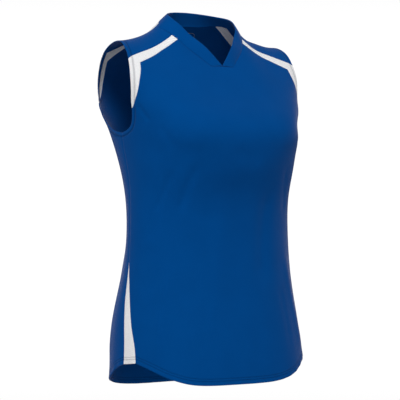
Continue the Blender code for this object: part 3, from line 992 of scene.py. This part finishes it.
def rail(name, line, distance, half_width, half_height, lift, finish, ring_shut=False):
    """A strip along a line of the cloth: a squared ellipse carried along it at a distance
    beside it, lifted off the cloth (down to the inside where the lift is negative)."""
    path = beside(line, distance) if distance else line
    angle, run = path.T
    points = cloth(angle, run)
    _, off, across = frame_along(points, angle, run)
    around = np.linspace(0, 2 * PI, RAIL_SIDES, endpoint=False)
    wide = half_width * np.sign(np.cos(around)) * np.sqrt(np.abs(np.cos(around)))
    high = half_height * np.sin(around) + lift
    loops = (points[:, None] + wide[None, :, None] * across[:, None]
             + high[None, :, None] * off[:, None])
    length = np.concatenate([[0], np.cumsum(np.linalg.norm(np.diff(points, axis=0), axis=1))])
    far = np.full(loops.shape[:2], FAR)
    fields = {"across": far * 0 + wide, "along": far * 0 + length[:, None],
              "seam": far, "hem": far, "armhole": far}
    return tube(name, loops, finish, fields, ring_shut)


armhole_ring = join(front_under, front_beside, front_over,
                    back_over[::-1], back_beside[::-1], back_under[::-1])[:-1]
for side, way in to_side.items():
    rail(f"armhole_facing_{side}", armhole_ring * way, FACING_HALF_WIDTH,
                         FACING_HALF_WIDTH, FACING_HALF_HEIGHT,
                         -(CLOTH + FACING_HALF_HEIGHT), BLUE_KNIT, ring_shut=True)


# ---- Seam turnings -------------------------------------------------------------------------
# Inside the shirt each seam's two cut edges are overlocked together into a narrow raised cord
# of doubled jersey, pressed to one side.

TURNING_HALF_WIDTH, TURNING_HALF_HEIGHT = 2.6, 0.6
seam_runs = {
    "front_insert": join(front_lower, front_inner), "front_yoke": front_top,
    "back_insert": join(back_lower, back_inner), "back_yoke": back_top,
    "side": side_front, "godet_front": godet_edges[0], "godet_back": godet_edges[1],
}
# The way each turning is pressed: towards the shirt's middle (1) or the shoulder (-1).
PRESSED = {"front_insert": 1, "front_yoke": -1, "back_insert": 1, "back_yoke": -1}
TURNING_CUT = 3  # steps that a pressed turning stops short of the armhole, under the facing
for side, way in to_side.items():
    for name, line in seam_runs.items():
        pressed = PRESSED.get(name, 0)
        path = line[:-TURNING_CUT] if pressed else line
        piece = rail(f"turning_{name}_{side}", path * way, pressed * TURNING_HALF_WIDTH,
                     TURNING_HALF_WIDTH, TURNING_HALF_HEIGHT, -(CLOTH + TURNING_HALF_HEIGHT),
                     BLUE_KNIT)


# ---- Stitching -----------------------------------------------------------------------------
# Polyester thread: one row of small stitches round each armhole and a twin-needle row along the
# hem, blue on the jersey and white on the mesh.

STITCH_PITCH, STITCH_LENGTH = 3.0, 2.1
THREAD_RADIUS, THREAD_LIFT = 0.17, 0.02
STITCH_SHAPE = np.array([(-1.0, 0.3), (-0.6, 0.9), (0.0, 1.0), (0.6, 0.9), (1.0, 0.3)])
STITCH_SINK = 0.14  # how far the ends go into the cloth
STITCH_SWAY = 0.05  # how unevenly the stitches lie, in radians
THREAD_SIDES = 4
PATH_STEPS = 10  # fine steps for each step of a stitched line
BLUE_THREAD = Finish("blue_thread", {"Base Color": (0.001, 0.072, 0.29, 1),
                                     "Roughness": 0.45, "Specular IOR Level": 0.15}).material
WHITE_THREAD = Finish("white_thread", {"Base Color": (0.78, 0.78, 0.79, 1),
                                       "Roughness": 0.5, "Specular IOR Level": 0.2}).material


def spindles(line, distance, chance):
    """Stitches along a line, evenly spaced by arc length: small spindles with their ends sunk
    by a parabola, each turned a little by chance."""
    places = np.linspace(0, len(line) - 1, PATH_STEPS * len(line))
    fine = [np.interp(places, np.arange(len(line)), line[:, i]) for i in range(2)]
    angle, run = beside(np.stack(fine, 1), distance).T
    path = cloth(angle, run)
    along, off, across = frame_along(path, angle, run)
    gone = np.concatenate([[0], np.cumsum(np.linalg.norm(np.diff(path, axis=0), axis=1))])
    centres = np.arange(STITCH_PITCH / 2, gone[-1], STITCH_PITCH)
    at = [np.stack([np.interp(centres, gone, part[:, i]) for i in range(3)], 1)
          for part in (path, along, off, across)]
    middle, along, off, across = [part[:, None, None] for part in at]
    sway = chance.normal(0, STITCH_SWAY, len(centres))[:, None, None, None]
    along, across = along + sway * across, across - sway * along
    around = np.linspace(0, 2 * PI, THREAD_SIDES, endpoint=False)[None, None, :, None]
    share = STITCH_SHAPE[:, 0][None, :, None, None]
    radius = THREAD_RADIUS * STITCH_SHAPE[:, 1][None, :, None, None]
    lift = THREAD_LIFT - STITCH_SINK * share**2
    return (middle + along * share * STITCH_LENGTH / 2
            + off * (lift + radius * np.sin(around)) + across * radius * np.cos(around))


def stitches(name, rows, finish):
    """All the stitches of some rows as one piece, each a closed spindle."""
    chance = np.random.default_rng(len(name))
    points = np.concatenate([spindles(line, distance, chance) for line, distance in rows])
    count, rings, sides = points.shape[:3]
    index = np.arange(rings * sides).reshape(rings, sides)
    ahead = np.roll(index, -1, axis=1)
    walls = np.stack([index[:-1], index[1:], ahead[1:], ahead[:-1]], -1).reshape(-1, 4)
    caps = np.stack([index[0], index[-1, ::-1]])
    one = np.concatenate([walls, caps])
    faces = (one[None] + np.arange(count)[:, None, None] * rings * sides).reshape(-1, 4)
    flat = points.reshape(-1, 3)
    a, b, c = (flat[faces[0, i]] for i in range(3))
    if np.cross(b - a, c - a) @ (a - points[0].reshape(-1, 3).mean(0)) < 0:
        faces = faces[:, ::-1]
    piece = closed_mesh(name, flat, faces.tolist(), finish)
    return piece


def wide_part(beside_line, inner_line):
    """Splits an insert's armhole edge where the insert gets as wide as the row's distance."""
    width = distance_to(cloth(*beside_line.T), dense(inner_line))
    split = int(np.argmax(width > STITCH_ROW_ARMHOLE))
    return beside_line[:split + 1], beside_line[split:]


front_tip, front_wide = wide_part(front_beside, front_inner)
back_tip, back_wide = wide_part(back_beside, back_inner)
twin = STITCH_ROWS_HEM
front_thread = stitches("front_hem_stitches", [(front_hem, row) for row in twin],
                        BLUE_THREAD)
back_thread = stitches("back_hem_stitches", [(back_hem, row) for row in twin],
                       BLUE_THREAD)
side_thread, blue_armhole_thread, white_armhole_thread = {}, {}, {}
blue_parts = (front_under, front_tip, front_over, back_over, back_tip, back_under)
for side, way in to_side.items():
    rows = [(godet_hem * way, row) for row in twin]
    side_thread[side] = stitches(f"side_insert_{side}_stitches", rows, WHITE_THREAD)
    rows = [(line * way, STITCH_ROW_ARMHOLE) for line in blue_parts]
    blue_armhole_thread[side] = stitches(f"armhole_{side}_stitches_blue", rows, BLUE_THREAD)
    rows = [(line * way, STITCH_ROW_ARMHOLE) for line in (front_wide, back_wide)]
    white_armhole_thread[side] = stitches(f"armhole_{side}_stitches_white", rows, WHITE_THREAD)


# ---- Neck print ----------------------------------------------------------------------------
# A plain grey rounded outline, heat-pressed inside the back just under the collar seam.

PRINT_ANGLE, PRINT_TOP, PRINT_BOTTOM = 4.1, 63.7, 97.0  # its sides and its ends
PRINT_CORNER = 3.0  # radius
PRINT_HALF_LINE, PRINT_HALF_HEIGHT = 0.55, 0.06
PRINT_STEPS = 9  # points on a corner

turn = np.linspace(0, PI / 2, PRINT_STEPS)
half_size = np.array([PRINT_ANGLE * DEGREE, (PRINT_BOTTOM - PRINT_TOP) / 2]) - PRINT_CORNER
print_corners = []
for quarter, way in enumerate([(1, 1), (-1, 1), (-1, -1), (1, -1)]):
    at = turn + quarter * PI / 2
    round_part = PRINT_CORNER * np.stack([np.cos(at), np.sin(at)], 1)
    print_corners.append(half_size * way + round_part)
print_line = np.concatenate(print_corners)
print_line[:, 0] /= DEGREE
print_line[:, 1] += (PRINT_TOP + PRINT_BOTTOM) / 2
GREY_PRINT = Finish("grey_print", {"Base Color": (0.16, 0.19, 0.26, 1), "Roughness": 0.5,
                                   "Specular IOR Level": 0.2}).material
neck_print = rail("neck_print", print_line, 0.0, PRINT_HALF_LINE, PRINT_HALF_HEIGHT,
                  -(CLOTH + PRINT_HALF_HEIGHT), GREY_PRINT, ring_shut=True)


# ---- The cut ---------------------------------------------------------------------------------
# The flat size of the shoulder inserts as sewn, without their turnings: width by length. Their lengths
# follow their bend.

INSERT_CUT = {"front": (0.024, 0.225), "back": (0.030, 0.225)}

for side in to_side:
    for place, cut in INSERT_CUT.items():
        place == "front"


# ---- Floor, light and camera ---------------------------------------------------------------
# The shirt hangs at the height of a standing wearer over a plain pale floor, in soft light from
# the front, above and one side, before a bright even surround.

FLOOR_DROP, FLOOR_SIZE = -1.38, 8.0
FLOOR_COLOUR = (0.50, 0.50, 0.51, 1)
SURROUND_LOW, SURROUND_BAND, BAND_HEIGHT = 0.26, 0.80, 0.20
BAND_EDGE = 4.0  # how quickly the band ends
CAMERA_PLACE = (-1.8377, -2.6348, -0.293)
CAMERA_TURN = (90.0, 0.0, -35.0)
CAMERA_LENS = 161.8
LIGHTS = """
x     y     z    size watts aim_z
-1.9  -2.3  3.2  1.5  125   -0.25
 1.2  -3.0  0.6  2.0   6    -0.35
-3.0   1.3  0.0  1.0   9    -0.40
"""


def floor():
    """A square of pale floor."""
    half = FLOOR_SIZE / 2
    corners = np.array([[-half, -half, FLOOR_DROP], [half, -half, FLOOR_DROP],
                        [half, half, FLOOR_DROP], [-half, half, FLOOR_DROP]])
    mesh = bpy.data.meshes.new("floor")
    mesh.from_pydata(corners.tolist(), [], [(0, 1, 2, 3)])
    finish = Finish("pale_floor", {"Base Color": FLOOR_COLOUR, "Roughness": 0.9})
    mesh.materials.append(finish.material)
    ground = bpy.data.objects.new("floor", mesh)
    bpy.context.scene.collection.objects.link(ground)


def surround():
    """Even light all round, brighter in a soft band at the horizon."""
    world = bpy.data.worlds.new("surround")
    bpy.context.scene.world = world
    world.use_nodes = True
    nodes, links = world.node_tree.nodes, world.node_tree.links
    background = nodes["Background"]
    place = nodes.new("ShaderNodeTexCoord")
    split = nodes.new("ShaderNodeSeparateXYZ")
    links.new(place.outputs["Generated"], split.inputs[0])
    last = split.outputs["Z"]
    steps = (("ABSOLUTE", 0.0), ("DIVIDE", BAND_HEIGHT), ("POWER", BAND_EDGE),
             ("MULTIPLY", -1.0), ("EXPONENT", 0.0), ("MULTIPLY", SURROUND_BAND),
             ("ADD", SURROUND_LOW))
    for operation, number in steps:
        step = nodes.new("ShaderNodeMath")
        step.operation = operation
        links.new(last, step.inputs[0])
        step.inputs[1].default_value = number
        last = step.outputs[0]
    links.new(last, background.inputs["Strength"])
    background.inputs["Color"].default_value = (1, 1, 1, 1)


def soft_lights():
    """Large square lamps, each aimed at the middle of the shirt."""
    for number, row in enumerate(zip(*table(LIGHTS).values())):
        x, y, z, size, watts, aim_z = row
        lamp = bpy.data.lights.new(f"soft_light_{number}", "AREA")
        lamp.size, lamp.energy = size, watts
        holder = bpy.data.objects.new(lamp.name, lamp)
        bpy.context.scene.collection.objects.link(holder)
        holder.location = x, y, z
        flat = np.hypot(x, y)
        holder.rotation_euler = (np.arctan2(flat, z - aim_z), 0, np.arctan2(-x, y) + PI)


def camera():
    """A level view from the wearer's right front."""
    lens = bpy.data.cameras.new("camera")
    lens.lens = CAMERA_LENS
    holder = bpy.data.objects.new("camera", lens)
    bpy.context.scene.collection.objects.link(holder)
    holder.location = CAMERA_PLACE
    holder.rotation_euler = np.radians(CAMERA_TURN)
    bpy.context.scene.camera = holder


floor()
surround()
soft_lights()
camera()
bpy.context.scene.view_settings.view_transform = "Standard"
